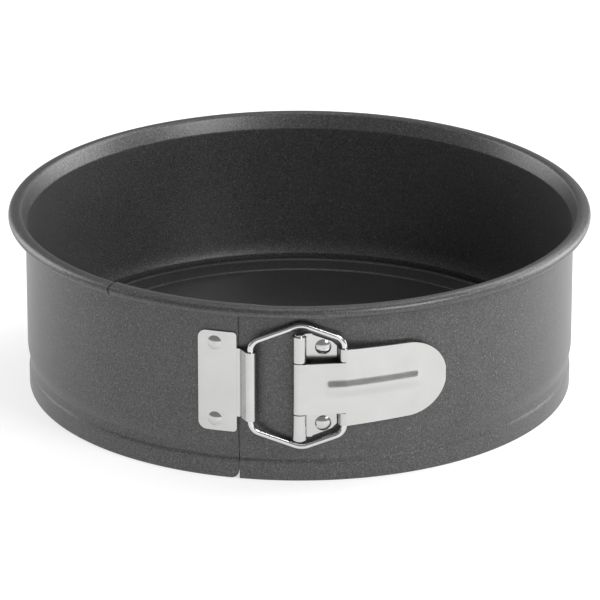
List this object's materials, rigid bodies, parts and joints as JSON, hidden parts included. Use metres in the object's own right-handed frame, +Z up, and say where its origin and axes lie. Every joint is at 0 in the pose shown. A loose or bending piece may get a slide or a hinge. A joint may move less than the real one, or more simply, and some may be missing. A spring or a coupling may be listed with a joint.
{
  "type": "springform pan",
  "caption": "Round springform cake pan: coated steel band with an over-centre wire-loop clasp, clamped round a loose dished base plate.",
  "frame": {"origin": "centre of the underside, where the pan stands", "axes": "+Z up, clasp at the front (-Y), lever pointing to +X"},
  "size_m": [0.2448, 0.2448, 0.0775],
  "materials": {
    "nonstick_coating": "satin metallic non-stick coating",
    "base_coating": "satin metallic non-stick coating with faint rings",
    "plated_steel": "bright plated",
    "plated_wire": "bright plated",
    "rivet_steel": "bright plated, slightly dulled"
  },
  "bodies": {
    "fixed_band": {"band_right": "nonstick_coating", "hinge_plate": "plated_steel", "hinge_pin": "plated_wire", "hinge_rivet_upper": "rivet_steel", "hinge_rivet_lower": "rivet_steel"},
    "free_band": {"band_left": "nonstick_coating", "strike_plate": "plated_steel", "strike_rivet_upper": "rivet_steel", "strike_rivet_lower": "rivet_steel"},
    "lever_arm": {"lever": "plated_steel"},
    "clasp_loop": {"wire_loop": "plated_wire"},
    "loose_base": {"base_plate": "base_coating"}
  },
  "joints": [
    {"name": "lever_swing", "type": "hinge", "parent": "fixed_band", "child": "lever_arm", "pos_m": [0, -0.1186, 0.0425], "axis": [0, 0, -1], "range_deg": [0, 175], "deforming": ["wire_loop"]},
    {"name": "loop_swing", "type": "hinge", "parent": "lever_arm", "child": "clasp_loop", "pos_m": [0.018, -0.1169, 0.0425], "axis": [0, 0, -1], "range_deg": [-160, 0]},
    {"name": "band_flex", "type": "hinge", "parent": "fixed_band", "child": "free_band", "pos_m": [0, 0.1224, 0.0381], "axis": [0, 0, -1], "range_deg": [0, 8.4]},
    {"name": "base_lift", "type": "slide", "parent": "fixed_band", "child": "loose_base", "axis": [0, 0, 1], "range_m": [0, 0.1]}
  ],
  "couplings": [
    {"joint": "loop_swing", "follows": "lever_swing", "ratio": -0.90915},
    {"joint": "band_flex", "follows": "lever_swing", "ratio": 0.047437}
  ]
}
